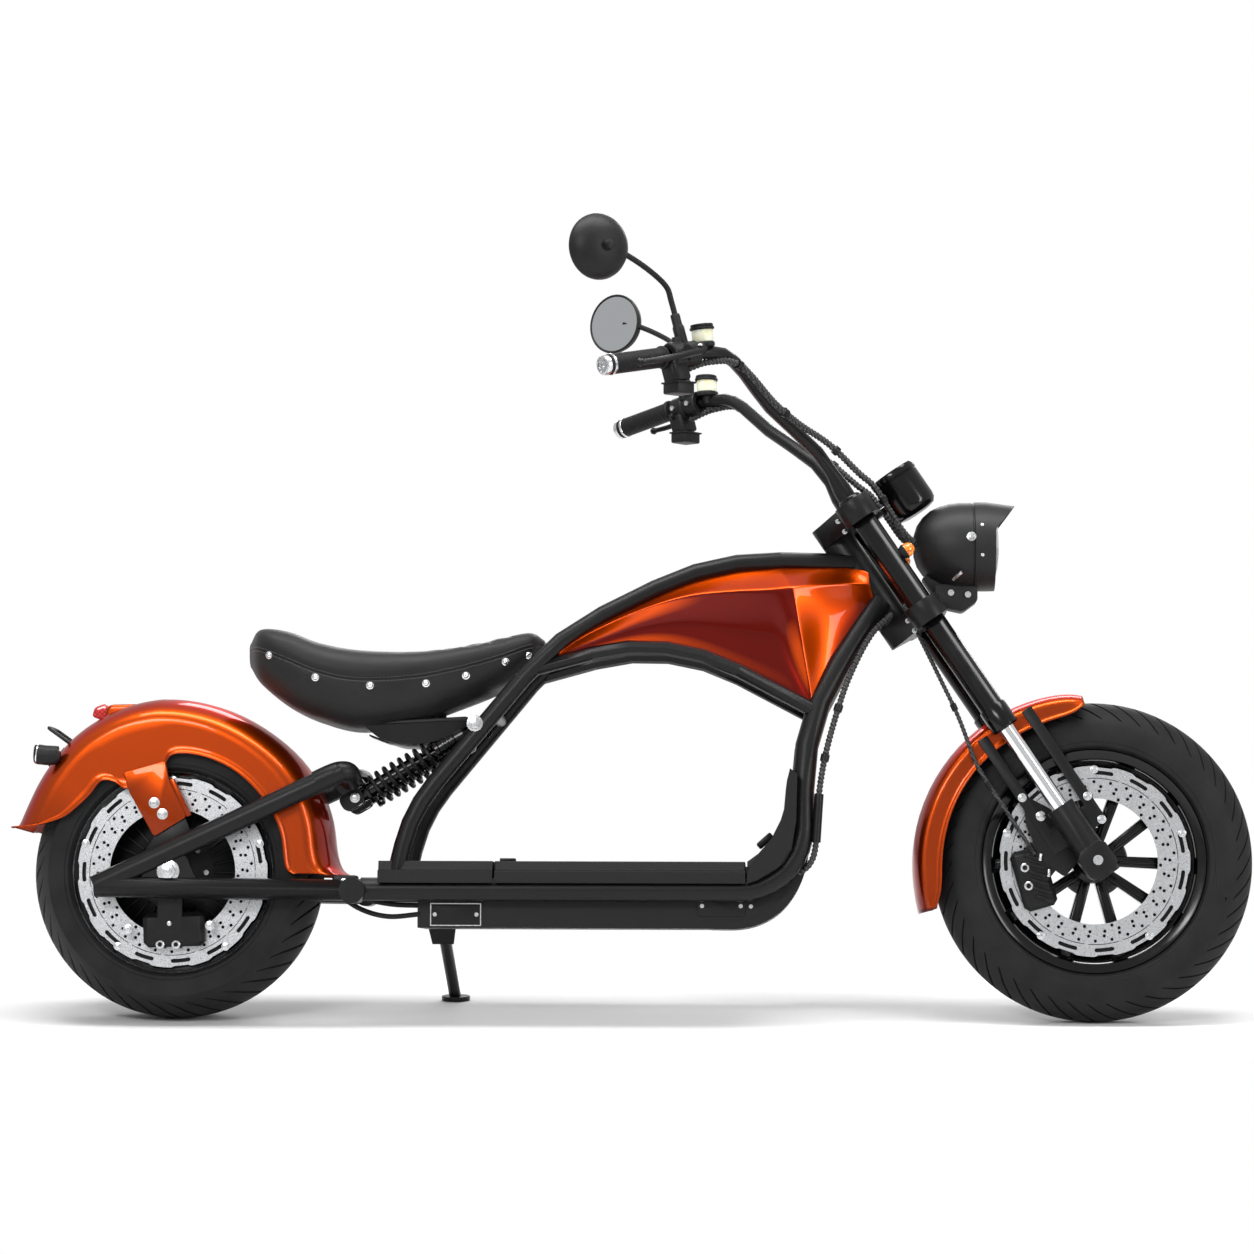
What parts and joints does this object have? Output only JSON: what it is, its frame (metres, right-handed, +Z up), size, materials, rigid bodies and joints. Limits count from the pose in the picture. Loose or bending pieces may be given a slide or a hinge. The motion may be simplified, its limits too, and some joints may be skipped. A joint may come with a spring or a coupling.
{
  "type": "electric scooter",
  "caption": "Low chopper-style electric scooter with a raked fork, high handlebar, padded saddle, flat deck over its battery box and a hub motor in the wide rear wheel.",
  "frame": {"origin": "on the ground under the middle of the leaning scooter's outline", "axes": "+X forward, +Y to the rider's left, the side it leans to, +Z up"},
  "size_m": [2.018, 0.8738, 1.3108],
  "materials": {
    "amber_lens": "translucent amber plastic",
    "black_cast_alloy": "black satin cast alloy",
    "black_frame_paint": "gloss black powder coat",
    "black_leather": "padded black leather",
    "black_plastic": "satin black plastic",
    "brushed_steel": "brushed steel",
    "candy_orange_paint": "candy orange gloss paint",
    "chrome": "polished chrome",
    "clear_lens": "clear lens",
    "grip_rubber": "ribbed matt rubber",
    "red_lens": "translucent red plastic",
    "tyre_rubber": "matt rubber"
  },
  "bodies": {
    "chassis": {"battery": "black_plastic", "battery_box": "black_plastic", "footboard_front": "black_plastic", "footboard_rear": "black_plastic", "frame_arch_left": "black_frame_paint", "frame_arch_right": "black_frame_paint", "frame_cradle_left": "black_frame_paint", "frame_cradle_right": "black_frame_paint", "frame_main_left": "black_frame_paint", "frame_main_right": "black_frame_paint", "head_tube": "black_frame_paint", "rear_axle": "brushed_steel", "rear_caliper": "black_cast_alloy", "rear_fender": "candy_orange_paint", "rear_signal_bar": "black_plastic", "seat_bracket": "black_frame_paint", "seat_cushion": "black_leather", "shock_left": "brushed_steel", "shock_right": "brushed_steel", "swingarm_bridge": "black_frame_paint", "swingarm_left": "black_frame_paint", "swingarm_right": "black_frame_paint", "tail_lens": "red_lens", "tank_cover_left": "candy_orange_paint", "tank_cover_right": "candy_orange_paint"},
    "steering": {"control_left": "black_plastic", "control_right": "black_plastic", "fork_leg_left": "black_frame_paint", "fork_leg_right": "black_frame_paint", "fork_stanchion_left": "chrome", "fork_stanchion_right": "chrome", "fork_tube_left": "black_frame_paint", "fork_tube_right": "black_frame_paint", "front_axle": "brushed_steel", "front_caliper": "black_cast_alloy", "front_fender": "candy_orange_paint", "grip_left": "grip_rubber", "grip_right": "grip_rubber", "handlebar_left": "black_frame_paint", "handlebar_right": "black_frame_paint", "headlight_lens": "clear_lens", "headlight_shell": "black_frame_paint", "lower_clamp": "black_frame_paint", "marker_lamp_left": "amber_lens", "marker_lamp_right": "amber_lens", "mirror_left": "black_plastic", "mirror_right": "black_plastic", "speedometer": "chrome", "upper_clamp": "black_frame_paint"},
    "front_wheel": {"front_disc": "brushed_steel", "front_rim": "black_cast_alloy", "front_tyre": "tyre_rubber"},
    "rear_wheel": {"hub_motor": "black_cast_alloy", "rear_disc": "brushed_steel", "rear_rim": "black_cast_alloy", "rear_tyre": "tyre_rubber"},
    "side_stand": {"side_stand": "black_frame_paint"},
    "battery_lid": {"battery_lid": "black_plastic"}
  },
  "joints": [
    {"name": "steering", "type": "hinge", "parent": "chassis", "child": "steering", "pos_m": [0.37639, -0.05478, 0.71945], "axis": [-0.5621, 0.1008, 0.8209], "range_deg": [-30, 30]},
    {"name": "front_wheel_spin", "type": "hinge", "parent": "steering", "child": "front_wheel", "pos_m": [0.74746, -0.11113, 0.26051], "axis": [0, 0.9925, -0.1219], "continuous": true},
    {"name": "rear_wheel_spin", "type": "hinge", "parent": "chassis", "child": "rear_wheel", "pos_m": [-0.75854, -0.11392, 0.23774], "axis": [0, 0.9925, -0.1219], "continuous": true},
    {"name": "side_stand_fold", "type": "hinge", "parent": "chassis", "child": "side_stand", "pos_m": [-0.33154, 0.01114, 0.13219], "axis": [0, 0.8044, 0.5941], "range_deg": [0, 90]},
    {"name": "battery_lid_hinge", "type": "hinge", "parent": "chassis", "child": "battery_lid", "pos_m": [-0.22954, -0.11167, 0.25608], "axis": [0, -0.9925, 0.1219], "range_deg": [0, 50]}
  ]
}
